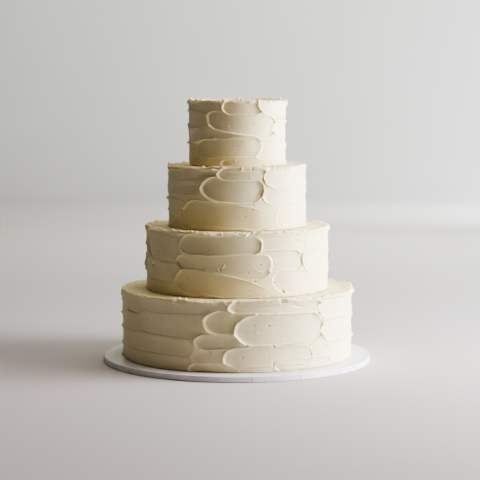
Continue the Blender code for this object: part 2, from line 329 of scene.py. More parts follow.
def cell_noise(across, up, seed, around=NOISE_KNOTS[0]):
    """Smooth random values from -1 to 1, one knot per unit; across repeats after `around`."""
    rows = NOISE_KNOTS[1]
    table = np.random.default_rng(seed).uniform(-1.0, 1.0, (around, rows))
    low_x = np.floor(across).astype(int)
    low_y = np.floor(up).astype(int)
    ease_x = across - low_x
    ease_y = up - low_y
    ease_x = ease_x * ease_x * (3.0 - 2.0 * ease_x)
    ease_y = ease_y * ease_y * (3.0 - 2.0 * ease_y)
    x0 = low_x % around
    x1 = (low_x + 1) % around
    y0 = low_y % rows
    y1 = (low_y + 1) % rows
    lower = table[x0, y0] + (table[x1, y0] - table[x0, y0]) * ease_x
    upper = table[x0, y1] + (table[x1, y1] - table[x0, y1]) * ease_x
    return lower + (upper - lower) * ease_y


def ring_noise(degrees, radius, wave, seed):
    """Smooth random values round a ring of that radius, with knots about `wave` apart."""
    around = max(3, round(math.tau * radius / wave))
    return cell_noise(degrees / 360.0 * around, np.zeros_like(degrees), seed, around)


def layered_noise(degrees, radius, seed, noise):
    """Noise round a ring: its mean, then the layers listed after it."""
    mean, *layers = noise
    total = np.full_like(degrees, mean)
    for strength, wave, number in layers:
        total += strength * ring_noise(degrees, radius, wave, seed + number)
    return total


def back_strokes(seed, radius, height):
    """Rows of overlapping strokes round the back, from the right of the front to its left."""
    draw = random.Random(seed)
    per_degree = math.radians(1.0) * radius
    rows = max(2, round(height / STROKE_STEP))
    step = height / rows
    strokes = []
    for row in range(rows):
        level = (row + 0.5) * step
        angle = HAND_LAID + draw.uniform(-4.0, 14.0)
        while angle < 360.0 - HAND_LAID:
            length = draw.uniform(*BACK_LENGTHS)
            width = step * draw.uniform(*BACK_WIDTHS)
            start = level + draw.uniform(-4.0, 4.0)
            end = start + draw.uniform(-6.0, 5.0)
            right = angle + length / per_degree
            strokes.append(Stroke(angle, right, start, end, width, width))
            angle += (length - draw.uniform(*BACK_OVERLAPS)) / per_degree
    draw.shuffle(strokes)
    return strokes


def lay_stroke(relief, stroke, radius, degrees, rise, depth, lip, seed):
    """Press one spatula stroke into a relief, in place, with the lip that it pushes up."""
    per_degree = math.radians(1.0) * radius
    length = (stroke.right - stroke.left) * per_degree
    along = degrees_from(degrees, stroke.left) * per_degree
    share = clamp(along / length)
    middle = stroke.left_height + (stroke.right_height - stroke.left_height) * share
    across = rise - middle - 4.0 * stroke.bow * share * (1.0 - share)
    half = (stroke.left_width + (stroke.right_width - stroke.left_width) * share) / 2.0
    margin = MOUND_REACH + 2.0
    near = (along > -margin) & (along < length + margin) & (np.abs(across) < half + margin)
    near = np.nonzero(near)[0]
    if not len(near):
        return
    along = along[near]
    across = across[near]
    half = half[near]
    old = relief[near]

    draw = random.Random(seed)
    tilt = draw.uniform(*STROKE_TILTS)
    lean = draw.uniform(*STROKE_LEANS)
    strength = draw.uniform(*LIP_STRENGTHS)
    slant = draw.uniform(*END_SLANTS)
    edge = across / half
    wobble = 0.75 * cell_noise(along / 19.0, 3.0 + edge * 1.6, seed)
    wobble += 0.28 * cell_noise(along / 5.0, 9.0 + across / 5.0, seed + 5)
    straight_from = stroke.left_width / 2.0 * LEFT_END
    straight_to = max(length - stroke.right_width / 2.0 * RIGHT_END, straight_from)
    before = np.maximum(straight_from - along + slant * across, 0.0) / LEFT_END
    after = np.maximum(along + slant * across - straight_to, 0.0) / RIGHT_END
    inside = half - np.hypot(before + after, across) + wobble
    end = clamp((before + after) / half)
    at_left = smoothstep(0.05, 0.7, before / half)
    at_right = smoothstep(0.05, 0.7, after / half)

    uneven = 1.0 + 0.35 * cell_noise(along / 4.5, across / 4.5, seed + 1)
    broken = 0.85 + 0.8 * cell_noise(along / 21.0, across / 17.0, seed + 2)
    broken = np.clip(broken, 0.2 + 0.6 * stroke.bowl, 1.15)
    fade = (1.0 - stroke.finish) * smoothstep(length - FADE_FROM, length - FADE_TO, along)
    bowl = stroke.bowl * at_left
    crest = lip * stroke.ridge * strength * (0.6 + 0.4 * end + 0.4 * at_left) * uneven * broken
    crest *= 1.0 - fade
    pressed = depth * min(0.45 + 0.55 * stroke.ridge, 1.0)

    floor = -pressed * (1.0 - SIDE_HOLLOW * edge**2)
    floor += tilt * edge + stroke.tilt * (edge + 1.0) / 2.0 + lean * (2.0 * along / length - 1.0)
    floor += 0.055 * cell_noise(along / 38.0, across / 1.5, seed + 3)
    floor += 0.035 * cell_noise((along + 0.35 * across) / 4.2, across / 23.0, seed + 4)
    floor -= (1.0 - stroke.bowl) * pressed * np.exp(-np.maximum(along, 0.0) / ENTRY_REACH)
    floor += BOWL_RISE * bowl * slope(inside, BOWL_REACH) ** 2
    right_slope = slope(inside, RIGHT_REACH) ** 2
    floor += RIGHT_RISE * pressed * at_right * right_slope
    floor += (old - floor) * fade

    rising = clamp(inside / (WALL_REACH * (1.0 + bowl)))
    rising = 1.0 - (1.0 - rising) ** 2
    fading = clamp(1.0 + inside / LIP_REACH) ** 1.6
    within = (old + crest) * (1.0 - rising) + floor * rising
    mound = clamp(1.0 + inside / MOUND_REACH) ** 2
    heaped = MOUND_SHARE + MOUND_SHARE * bowl
    outside = old + crest * ((1.0 - heaped) * fading + heaped * mound)
    relief[near] = np.where(inside > 0.0, within, outside)


def add_spots(relief, spots, radius, degrees, rise):
    """Add nubs and pits to a relief, in place."""
    per_degree = math.radians(1.0) * radius
    for spot in spots:
        along = degrees_from(degrees, spot.angle) * per_degree
        above = rise - spot.rise
        turn = math.radians(spot.turn)
        lengthwise = (along * math.cos(turn) + above * math.sin(turn)) / spot.stretch
        crosswise = above * math.cos(turn) - along * math.sin(turn)
        apart = lengthwise**2 + crosswise**2
        near = apart < (3.0 * spot.size) ** 2
        relief[near] += spot.height * np.exp(-apart[near] / spot.size**2)


def seeded_spots(draw, count, rises, sizes, heights):
    """Nubs or pits all round a tier, their rises, sizes and heights within those limits."""
    return [
        Spot(draw.uniform(0.0, 360.0), draw.uniform(*rises), draw.uniform(*sizes),
             draw.uniform(*heights))
        for _ in range(count)
    ]


# ---- surfaces ----
def turned_mesh(name, radii, heights):
    """A closed surface of rings between two points on the axis.

    radii and heights have one row for each ring and one column for each angle.
    """
    rings, columns = radii.shape
    angles = np.arange(columns) * math.tau / columns
    points = np.empty((rings * columns + 2, 3))
    points[:-2, 0] = (radii * np.sin(angles)).ravel()
    points[:-2, 1] = (-radii * np.cos(angles)).ravel()
    points[:-2, 2] = heights.ravel()
    points[-2] = (0.0, 0.0, heights[0].mean())
    points[-1] = (0.0, 0.0, heights[-1].mean())
    column = np.arange(columns)
    beside = (column + 1) % columns
    first = np.arange(rings - 1)[:, None] * columns
    second = first + columns
    corners = [first + column, second + column, second + beside, first + beside]
    quads = np.stack(corners, axis=-1).reshape(-1, 4)
    last = (rings - 1) * columns
    top = np.stack([np.full(columns, rings * columns), column, beside], axis=-1)
    foot = np.stack([np.full(columns, rings * columns + 1), last + beside, last + column], axis=-1)
    mesh = bpy.data.meshes.new(name)
    mesh.from_pydata(points.tolist(), [], quads.tolist() + top.tolist() + foot.tolist())
    mesh.update()
    mesh.shade_smooth()
    return mesh


def spread_round(stations, columns):
    """The stations' fields at each point round the axis, with the points' angles in degrees."""
    fields = [np.repeat(field, columns) for field in stations.T]
    degrees = np.tile(np.arange(columns) * 360.0 / columns, len(stations))
    return fields, degrees_from(degrees, 0.0)


def new_object(name, data):
    """A new object in the scene."""
    made = bpy.data.objects.new(name, data)
    bpy.context.scene.collection.objects.link(made)
    return made


def add_piece(mesh, finish, node):
    """Put a piece in the scene in place of a CAD node."""
    piece = new_object(mesh.name, mesh)
    mesh.materials.append(finish)
    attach(piece, "root")
    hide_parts(node)


def thinned(mesh, most):
    """The same mesh with its triangles cut down to at most that many, flat parts first."""
    triangles = sum(len(face.vertices) - 2 for face in mesh.polygons)
    if triangles <= most:
        return mesh
    holder = new_object("holder", mesh)
    cut = holder.modifiers.new("cut", "DECIMATE")
    cut.ratio = most / triangles
    view = bpy.context.evaluated_depsgraph_get()
    thin = bpy.data.meshes.new_from_object(holder.evaluated_get(view))
    name = mesh.name
    bpy.data.objects.remove(holder)
    bpy.data.meshes.remove(mesh)
    thin.name = name
    thin.shade_smooth()
    return thin


def tier_radius(node):
    """Radius in metres of a tier of the frame, from the relief on the middle of its side."""
    low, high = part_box(node)
    points = np.array([vertex.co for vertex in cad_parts[node].data.vertices])
    from_axis = np.hypot(points[:, 0], points[:, 1])
    on_side = (points[:, 2] > low.z + SIDE_FROM * MM) & (points[:, 2] < high.z - SIDE_TO * MM)
    on_side &= from_axis > high.x - SIDE_DEEPEST * MM
    return float(np.median(from_axis[on_side])) + TYPICAL_TROUGH * MM


# Lengths are in millimetres here too.
MOST_TRIANGLES = 190000  # of one tier
GRID_SHARES = (1.0, 0.93, 0.86, 0.82)  # a tier's grid over the bottom one's, from the bottom up
ROUND_GRID = 1.35  # the spacing of the points round a tier over the grid
TOP_GRID = 1.3  # the same across its top
ARC_GRID = 0.8  # the same over its top edge
RIM_ARC = 2.8  # radius of a tier's top edge
FOOT_ARC = 0.8  # radius of its bottom edge
HOLE_RADIUS = 1.5  # where the topmost rings close on the axis
INNER_FOOT = 0.6  # of the underside's last ring, over the tier's radius
SURFACE_LIFT = 0.55  # how far the middle of the relief is lifted to meet the solids
CROWN_DROP = 1.4  # how far the top lies below the solid's highest point
TIER_GAP = 0.3  # between a tier's top and the tier on it
TIER_OVERLAP = 4.0  # how far a tier's top runs in under the tier on it
TOP_LIFT = 0.1  # how far the strokes on a top are lifted
FLARE_REACH = 12.0  # height below the rim over which the side leans out
FOOT_REACH = 3.5  # height over which the cream swells at the foot
UNDERCUT_DEPTH = 1.5  # of the gap where the foot stands clear of what is under it
UNDERCUT_RISES = (1.6, 0.5)  # heights where that gap starts and where it is deepest

# Noise round a tier: its mean, then the strength, wave and seed number of each layer.
FLARE_NOISE = (0.9, (1.1, 38.0, 20))
SWELL_NOISE = (0.3, (0.9, 14.0, 1), (0.6, 3.5, 2))
UNDERCUT_NOISE = (0.6, (1.5, 26.0, 22))
TORN_NOISE = (0.65, (0.7, 12.0, 3), (0.6, 4.5, 4), (0.4, 2.2, 14))
SHIFT_NOISE = (0.0, (1.3, 17.0, 5), (0.7, 3.5, 15))
TRAIL_NOISE = (0.0, (1.5, 21.0, 16))
TRAIL_BREAKS = (0.6, (1.1, 3.2, 17))
FOLD_NOISE = (7.5, (2.8, 27.0, 6), (1.6, 6.5, 8))
FOLD_BREAKS = (0.5, (1.0, 8.0, 9))
CLEFT_NOISE = (0.25, (1.6, 31.0, 21))

RIM_WIDTH = 1.7  # half width of the torn ridge along the rim
TRAIL_PLACE = 3.6  # how far in a second, weaker ridge runs
TRAIL_WIDTH = 1.2
FOLD_WIDTH = 1.4  # half width of the lip of the cream folded on to the top
FOLD_HEIGHTS = (0.35, 0.7)  # of the folded cream and of its lip
CLEFT_DEPTH = 1.1  # of the groove just under the rim
CLEFT_PLACE = 0.9  # how far under the rim it runs
CLEFT_WIDTH = 0.6
CLEFT_LIP_HEIGHT = 0.7  # of the lip under the groove
CLEFT_LIP_PLACE = 2.2
CLEFT_LIP_WIDTH = 0.7
FLAKES = 0.8  # flakes along a rim for each millimetre of its radius
FLAKE_PLACES = (-2.2, 3.6)  # how far in
FLAKE_LENGTHS = (3.0, 13.0)  # from the middle to an end
FLAKE_WIDTHS = (0.6, 1.2)
FLAKE_HEIGHTS = (0.35, 1.15)
FLAKE_CLIMBS = (-0.16, 0.16)  # how far they turn from the rim's line
PEAKS = 0.5  # little peaks for each millimetre
PEAK_PLACES = (0.0, 3.5)
PEAK_SIZES = (0.7, 1.2)
PEAK_HEIGHTS = (0.5, 2.1)

CROWN_STROKES = 9  # strokes across the topmost surface
CROWN_STEP = 11.0  # their spacing
CROWN_REACH = 62.0  # how far each way they run
CROWN_TURN = (0.94, 0.34)  # cosine and sine of the turn of the strokes across the top
CROWN_WIDTHS = (14, 22)
CROWN_SWAY = (-5, 5)  # how much higher their right end lies
CROWN_BOWS = (-4, 4)
CROWN_DEPTH = 0.45
CROWN_LIP = 0.4
LEDGE_SPANS = (34.0, 62.0)  # degrees that the strokes along a ledge take up
LEDGE_STEPS = (0.55, 0.85)  # from one to the next, over its span
LEDGE_MIDDLES = (0.35, 0.6)  # over the ledge's width, like the next
LEDGE_WIDTHS = (0.6, 0.9)
LEDGE_SWAY = (-3, 3)
LEDGE_DEPTH = 0.4
LEDGE_LIP = 0.35
LEDGE_CLEAR = (4.3, 6.5)  # where relief starts and is full, past the tier above's seat


def tier_stations(radius, height, seat, grid):
    """Half section of a tier, in millimetres, as rows of radius, height, normal and position.

    The position is the distance along the section from the middle of the top edge's arc,
    growing towards the axis and negative down the side.
    """
    rows = []
    ledge_end = radius - RIM_ARC
    half_arc = RIM_ARC * math.pi / 4.0
    inner = seat if seat else HOLE_RADIUS
    count = max(2, round((ledge_end - inner) / (grid * TOP_GRID)))
    for step in range(count):
        reach = inner + (ledge_end - inner) * step / count
        rows.append((reach, height, 0.0, 1.0, ledge_end - reach + half_arc))
    arc_steps = max(4, round(RIM_ARC * math.pi / 2.0 / (grid * ARC_GRID)))
    for step in range(arc_steps + 1):
        angle = math.pi / 2.0 * (1.0 - step / arc_steps)
        rows.append((ledge_end + RIM_ARC * math.cos(angle),
                     height - RIM_ARC + RIM_ARC * math.sin(angle),
                     math.cos(angle), math.sin(angle), RIM_ARC * angle - half_arc))
    side = height - RIM_ARC - FOOT_ARC
    count = round(side / grid)
    for step in range(1, count + 1):
        rise = height - RIM_ARC - side * step / count
        rows.append((radius, rise, 1.0, 0.0, rise - height + RIM_ARC - half_arc))
    for angle in (30.0, 60.0, 90.0):
        turn = math.radians(angle)
        rows.append((radius - FOOT_ARC * (1.0 - math.cos(turn)),
                     FOOT_ARC * (1.0 - math.sin(turn)),
                     math.cos(turn), 0.0, FOOT_ARC - height - half_arc))
    rows.append((radius * INNER_FOOT, 0.0, 0.0, 0.0, -height - radius))
    return np.array(rows)


def add_flakes(relief, seed, count, radius, degrees, position):
    """Add thin torn flakes of cream that lie along the rim, in place."""
    per_degree = math.radians(1.0) * radius
    draw = random.Random(seed)
    for number in range(count):
        angle = draw.uniform(-180.0, 180.0)
        place = draw.uniform(*FLAKE_PLACES)
        length = draw.uniform(*FLAKE_LENGTHS)
        width = draw.uniform(*FLAKE_WIDTHS)
        height = draw.uniform(*FLAKE_HEIGHTS)
        climb = draw.uniform(*FLAKE_CLIMBS)
        along = degrees_from(degrees, angle) * per_degree
        across = position - place - climb * along
        near = (np.abs(along) < length) & (np.abs(across) < 3.0 * width)
        along = along[near]
        across = across[near]
        height *= np.clip(1.0 + 0.6 * cell_noise(along / 2.6, np.zeros_like(along), seed + number),
                          0.3, 1.5)
        ends = (1.0 - (along / length) ** 2) ** 1.3
        relief[near] += height * ends * np.exp(-(across / width) ** 2)


def side_relief(index, settings, radius, height, degrees, side_rise):
    """Relief of a tier's side: overlapping strokes, nubs and pits."""
    seed = SEEDS[index] * SEED_SPACE
    flare = np.clip(layered_noise(degrees, radius, seed, FLARE_NOISE), 0.1, 1.9)
    relief = flare * slope(height - side_rise, FLARE_REACH) ** 1.5
    strokes = back_strokes(SEEDS[index], radius, height)
    strokes += [Stroke(*row) for row in FRONT_STROKES[index]]
    for number, stroke in enumerate(strokes):
        lay_stroke(relief, stroke, radius, degrees, side_rise, settings.depth, settings.lip,
                   seed + SEED_STEP * number)
    draw = random.Random(seed + 7)
    rises = (LOWEST_SPOT, height)
    spots = seeded_spots(draw, SIDE_NUBS, rises, NUB_SIZES, NUB_HEIGHTS)
    spots += seeded_spots(draw, SIDE_PITS, rises, PIT_SIZES, PIT_HEIGHTS)
    spots += [Spot(*row) for row in FRONT_SPOTS[index]]
    add_spots(relief, spots, radius, degrees, side_rise)
    return relief + SURFACE_LIFT


def rim_relief(seed, settings, radius, degrees, position):
    """Relief of a tier's top edge: a torn rim with flakes, and cream folded on to the top."""
    def layered(noise):
        return layered_noise(degrees, radius, seed, noise)

    shift = layered(SHIFT_NOISE)
    ridge = slope(np.abs(position - shift), RIM_WIDTH) ** 1.3
    relief = settings.rim * np.clip(layered(TORN_NOISE), 0.0, 2.1) * ridge
    second = np.clip(layered(TRAIL_NOISE), 0.0, 1.3) * np.clip(layered(TRAIL_BREAKS), 0.0, 1.5)
    trail = slope(np.abs(position - shift - TRAIL_PLACE), TRAIL_WIDTH)
    relief += settings.rim * second * trail

    band = layered(FOLD_NOISE)
    inside_band = smoothstep(0.0, 0.9, band - position) * smoothstep(0.2, 1.6, position)
    fold_lip = slope(np.abs(position - band), FOLD_WIDTH) ** 1.5
    fold_lip *= np.clip(layered(FOLD_BREAKS), 0.0, 1.4)
    relief += FOLD_HEIGHTS[0] * inside_band + FOLD_HEIGHTS[1] * fold_lip
    cleft = clamp(layered(CLEFT_NOISE))
    low_edge = position - 0.5 * shift
    relief -= CLEFT_DEPTH * cleft * np.exp(-((low_edge + CLEFT_PLACE) / CLEFT_WIDTH) ** 2)
    under = (low_edge + CLEFT_LIP_PLACE) / CLEFT_LIP_WIDTH
    relief += CLEFT_LIP_HEIGHT * cleft * np.exp(-(under**2))
    add_flakes(relief, seed + 18, round(radius * FLAKES), radius, degrees, position)
    peaks = seeded_spots(random.Random(seed + 19), round(radius * PEAKS), PEAK_PLACES,
                         PEAK_SIZES, PEAK_HEIGHTS)
    add_spots(relief, peaks, radius, degrees, position)
    return relief


def crown_relief(seed, degrees, reach):
    """Relief of the topmost surface: strokes straight across it."""
    relief = np.zeros_like(degrees)
    across_x = reach * np.sin(np.radians(degrees))
    across_y = -reach * np.cos(np.radians(degrees))
    cosine, sine = CROWN_TURN
    turned_x = across_x * cosine + across_y * sine
    turned_y = across_y * cosine - across_x * sine
    flat = 180.0 / math.pi
    draw = random.Random(seed + 50)
    for number in range(CROWN_STROKES):
        level = CROWN_STEP * (number - (CROWN_STROKES - 1) / 2.0)
        stroke = Stroke(-CROWN_REACH, CROWN_REACH, level, level + draw.uniform(*CROWN_SWAY),
                        draw.uniform(*CROWN_WIDTHS), draw.uniform(*CROWN_WIDTHS),
                        draw.uniform(*CROWN_BOWS))
        lay_stroke(relief, stroke, flat, turned_x, turned_y, CROWN_DEPTH, CROWN_LIP,
                   seed + 51 + SEED_STEP * number)
    return relief


def ledge_relief(seed, radius, seat, degrees, position):
    """Relief of the ring of a tier's top that shows round the tier above: strokes along it."""
    relief = np.zeros_like(degrees)
    width = radius - RIM_ARC - seat
    draw = random.Random(seed + 50)
    angle = draw.uniform(0, 40)
    number = 0
    while angle < 400.0:
        span = draw.uniform(*LEDGE_SPANS)
        middle = draw.uniform(*LEDGE_MIDDLES) * width
        stroke = Stroke(angle, angle + span, middle, middle + draw.uniform(*LEDGE_SWAY),
                        width * draw.uniform(*LEDGE_WIDTHS), width * draw.uniform(*LEDGE_WIDTHS))
        lay_stroke(relief, stroke, radius, degrees, position, LEDGE_DEPTH, LEDGE_LIP,
                   seed + 51 + SEED_STEP * number)
        angle += span * draw.uniform(*LEDGE_STEPS)
        number += 1
    return relief


def tier_mesh(index, settings):
    """The buttercream surface of one tier."""
    node = TIERS[index]
    low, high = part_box(node)
    radius = tier_radius(node) / MM
    topmost = index == len(TIERS) - 1
    if topmost:
        level = high.z - CROWN_DROP * MM
        seat = 0.0
    else:
        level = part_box(TIERS[index + 1])[0].z - TIER_GAP * MM
        seat = tier_radius(TIERS[index + 1]) / MM - TIER_OVERLAP
    height = (level - low.z) / MM
    seed = SEEDS[index] * SEED_SPACE
    grid = settings.grid / MM * GRID_SHARES[index]
    stations = tier_stations(radius, height, seat, grid)
    columns = round(math.tau * radius / (grid * ROUND_GRID))
    (reach, rise, out, up, position), degrees = spread_round(stations, columns)

    # the side's strokes run on over the top edge and fade out there
    relief = side_relief(index, settings, radius, height, degrees, height + position)
    relief *= smoothstep(3.5, -0.5, position)
    swell = np.clip(layered_noise(degrees, radius, seed, SWELL_NOISE), -0.9, 1.6)
    foot_share = slope(rise, FOOT_REACH) ** 2
    relief += swell * foot_share * (position < 0.0)
    undercut = clamp(layered_noise(degrees, radius, seed, UNDERCUT_NOISE))
    relief -= UNDERCUT_DEPTH * undercut * smoothstep(*UNDERCUT_RISES, rise) * (position < 0.0)
    relief += rim_relief(seed, settings, radius, degrees, position)

    over_top = smoothstep(2.0, 5.0, position)
    if topmost:
        relief += (crown_relief(seed, degrees, reach) + TOP_LIFT) * over_top
    else:
        clear = smoothstep(seat + LEDGE_CLEAR[0], seat + LEDGE_CLEAR[1], reach)
        relief *= np.where(up > 0.0, clear, 1.0)
        strokes = ledge_relief(seed, radius, seat, degrees, position)
        relief += (strokes + TOP_LIFT) * over_top * clear

    shape = (len(stations), columns)
    radii = ((reach + relief * out) * MM).reshape(shape)
    heights = (low.z + (rise + relief * up) * MM).reshape(shape)
    return thinned(turned_mesh(f"{node}_buttercream", radii, heights), MOST_TRIANGLES)


# The board's lengths, in millimetres.
BOARD_ARC = 0.8  # radius of the board's edges
BOARD_COLUMNS = 1800
BOARD_RINGS = (20.0, 60.0, 100.0, 120.0, 128.0)  # radii of the rings under the cake
TOP_STEPS = 20  # rings over the part of the board's top that shows
ARC_STEPS = 6  # rings over its upper edge
SIDE_STEPS = 8
FOOT_STEPS = 4  # rings over its lower edge
PAPER_TURN = 14.0  # how far the paper is turned in under the board
PAPER_WAVE = (0.05, 24.0, 71)  # height, wave and seed of the paper's unevenness
PAPER_RELIEF = (-0.5, 0.6)
FRONT_PLEATS = (-23.0, -7.0, 5.5, 13.5, 26.5, 34.5)  # folds listed one by one, in degrees
PLEAT_SEED = 5
PLEAT_CLEAR = 4.0  # degrees past those that are kept free of seeded folds
PLEAT_SKEW = 0.45  # how far a fold leans, either way
PLEAT_RUNS = (1.0, 5.0)  # how far folds run in over the top
PLEAT_DEPTHS = (0.25, 0.6)
PLEAT_WIDTH = 7.0  # how far the doubled paper beside a fold reaches
PLEAT_REACH = 12.0  # how far in over the top the paper is uneven
CREASE_WIDTH = 0.75
CREASE_DEPTH = 0.9  # over the fold's depth


def board_mesh(settings):
    """The wrapped board: a drum whose paper lies in shallow pleats round the edge."""
    low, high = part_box("cake_board")
    radius = high.x / MM
    thick = (high.z - low.z) / MM
    inner = BOARD_RINGS[-1]
    flat_end = radius - BOARD_ARC
    side = thick - 2.0 * BOARD_ARC
    rows = [(reach, thick, 0.0, 1.0) for reach in BOARD_RINGS]
    for step in range(1, TOP_STEPS + 1):
        rows.append((inner + (flat_end - inner) * step / TOP_STEPS, thick, 0.0, 1.0))
    for step in range(1, ARC_STEPS + 1):
        angle = math.pi / 2.0 * (1.0 - step / ARC_STEPS)
        rows.append((flat_end + BOARD_ARC * math.cos(angle),
                     thick - BOARD_ARC + BOARD_ARC * math.sin(angle),
                     math.cos(angle), math.sin(angle)))
    for step in range(1, SIDE_STEPS):
        rows.append((radius, thick - BOARD_ARC - side * step / SIDE_STEPS, 1.0, 0.0))
    for step in range(FOOT_STEPS + 1):
        angle = math.pi / 2.0 * step / FOOT_STEPS
        rows.append((flat_end + BOARD_ARC * math.cos(angle),
                     BOARD_ARC - BOARD_ARC * math.sin(angle), math.cos(angle), 0.0))
    rows.append((flat_end - PAPER_TURN, 0.0, 0.0, 0.0))
    stations = np.array(rows)
    (reach, rise, out, up), degrees = spread_round(stations, BOARD_COLUMNS)

    draw = random.Random(PLEAT_SEED)
    centres = list(FRONT_PLEATS)
    for pleat in range(settings.pleats):
        centre = -180.0 + 360.0 * (pleat + draw.uniform(0.2, 0.8)) / settings.pleats
        if abs(centre) > max(FRONT_PLEATS) + PLEAT_CLEAR:
            centres.append(centre)
    relief = np.zeros_like(degrees)
    from_edge = flat_end - reach
    on_top = np.maximum(from_edge, 0.0)
    down = thick - rise
    for centre in centres:
        skew = draw.uniform(-PLEAT_SKEW, PLEAT_SKEW)
        run = draw.uniform(*PLEAT_RUNS)
        deep = draw.uniform(*PLEAT_DEPTHS)
        along = degrees_from(degrees, centre) * math.radians(radius) + skew * (down - on_top)
        fades = slope(on_top, run)
        doubled = smoothstep(-0.25, 0.25, along) * slope(along, PLEAT_WIDTH) ** 2
        crease = np.exp(-((along / CREASE_WIDTH) ** 2))
        relief += deep * fades * (doubled - CREASE_DEPTH * crease)
    strength, wave, seed = PAPER_WAVE
    relief += strength * ring_noise(degrees, radius, wave, seed)
    relief = np.clip(relief, *PAPER_RELIEF)
    shape = (len(stations), BOARD_COLUMNS)
    radii = ((reach + relief * out) * MM).reshape(shape)
    heights = (low.z + (rise + relief * up * (from_edge < PLEAT_REACH)) * MM).reshape(shape)
    return turned_mesh("cake_board_wrapping", radii, heights)


# ---- shader expressions ----
class Value:
    """A shader socket that takes part in Python expressions."""

    def __init__(self, tree, socket):
        self.tree = tree
        self.socket = socket

    def node(self, kind, settings=None, values=None, output=0):
        """Add any node: its settings first, then the values or links of its sockets."""
        made = self.tree.nodes.new(kind)
        for name, setting in (settings or {}).items():
            setattr(made, name, setting)
        feed(made, values or {})
        return Value(self.tree, made.outputs[output])

    def maths(self, operation, *values):
        """A Math node on this and other values."""
        return self.node("ShaderNodeMath", {"operation": operation}, dict(enumerate(values)))

    def __add__(self, other):
        return self.maths("ADD", self, other)

    __radd__ = __add__

    def __mul__(self, other):
        return self.maths("MULTIPLY", self, other)

    __rmul__ = __mul__

    def blend(self, low, high):
        """Mix two colours by this value."""
        return self.node("ShaderNodeMix", {"data_type": "RGBA", "clamp_factor": True},
                         {0: self, 6: low, 7: high}, output=2)

    def range(self, low, high, to_low=0.0, to_high=1.0):
        """Ease this value from one range to another."""
        return self.node("ShaderNodeMapRange", {"interpolation_type": "SMOOTHSTEP"},
                         {0: self, 1: low, 2: high, 3: to_low, 4: to_high})


def feed(node, values):
    """Give a node's sockets values, or links from expressions."""
    for name, value in values.items():
        if isinstance(value, Value):
            value.tree.links.new(value.socket, node.inputs[name])
        else:
            node.inputs[name].default_value = value


def new_material(name):
    """A material, its Principled shader and a value to start expressions from."""
    made = bpy.data.materials.new(name)
    made.use_nodes = True
    shader = made.node_tree.nodes["Principled BSDF"]
    place = made.node_tree.nodes.new("ShaderNodeTexCoord")
    return made, shader, Value(made.node_tree, place.outputs["Object"])


def scaled(place, x, y, z):
    """Object coordinates stretched along each axis."""
    return place.node("ShaderNodeVectorMath", {"operation": "MULTIPLY"}, {0: place, 1: (x, y, z)})


def noise(place, scale, detail=3.0, roughness=0.5):
    """Noise from 0 to 1 at a scale in features per metre."""
    return place.node("ShaderNodeTexNoise", {"noise_dimensions": "3D"}, {
        "Vector": place, "Scale": scale, "Detail": detail, "Roughness": roughness})


def bumped(height, strength, distance):
    """The normal that a height gives."""
    return height.node("ShaderNodeBump", None, {
        "Height": height, "Strength": strength, "Distance": distance})


def tinted(colour, red, green, blue):
    """A colour with each channel multiplied, as RGBA."""
    return (colour[0] * red, colour[1] * green, colour[2] * blue, 1.0)


def buttercream_material(settings):
    """Smooth fatty cream: light enters it, and fine drag lines and bubbles mark it."""
    made, shader, place = new_material("buttercream")
    cloudy = noise(place, 22.0, 4.0)
    fine = noise(place, 160.0, 4.0, 0.6)
    tone = (cloudy * 0.65 + fine * 0.35).range(0.32, 0.68)
    streaks = noise(scaled(place, 45.0, 45.0, 700.0), 1.0, 3.0, 0.55)
    grain = noise(place, 900.0, 3.0, 0.6)
    cells = place.node("ShaderNodeTexVoronoi", {"feature": "F1", "distance": "EUCLIDEAN"},
                       {"Vector": place, "Scale": 190.0}, output="Distance")
    bubbles = cells.range(0.03, 0.1)
    height = streaks * 0.35 + grain * 0.2 + bubbles * 0.45
    feed(shader, {
        "Base Color": tone.blend(tinted(settings.colour, 0.965, 0.955, 0.91),
                                 tinted(settings.colour, 1.02, 1.025, 1.05)),
        "Roughness": (streaks * 0.5 + grain * 0.5).range(
            0.3, 0.7, settings.roughness - 0.07, settings.roughness + 0.08),
        "Normal": bumped(height, 0.35, 0.00022),
        "IOR": 1.45,
        "Specular IOR Level": 0.35,
        "Subsurface Weight": 0.45,
        "Subsurface Radius": (1.0, 0.82, 0.5),  # red light travels furthest
        "Subsurface Scale": settings.translucency,
    })
    return made


def wrapping_material(settings):
    """White coated wrapping paper, faintly embossed."""
    made, shader, place = new_material("board_wrapping")
    cloudy = noise(place, 30.0, 3.0)
    fibres = noise(scaled(place, 420.0, 420.0, 420.0), 1.0, 2.0, 0.5)
    emboss = noise(place, 260.0, 2.0, 0.4)
    feed(shader, {
        "Base Color": cloudy.range(0.3, 0.7).blend(tinted(settings.colour, 0.96, 0.96, 0.955),
                                                   tinted(settings.colour, 1.03, 1.03, 1.03)),
        "Roughness": fibres.range(0.3, 0.7, 0.32, 0.46),
        "Normal": bumped(fibres * 0.4 + emboss * 0.6, 0.25, 0.00015),
        "Coat Weight": 0.15,
        "Coat Roughness": 0.3,
    })
    return made


def floor_material(settings):
    """Plain pale studio paper."""
    made, shader, place = new_material("studio_paper")
    soft = noise(place, 3.0, 3.0).range(0.3, 0.7)
    feed(shader, {
        "Base Color": soft.blend(tinted(settings.floor_colour, 0.985, 0.985, 0.985),
                                 tinted(settings.floor_colour, 1.01, 1.01, 1.01)),
        "Roughness": 0.8,
        "Specular IOR Level": 0.2,
    })
    return made


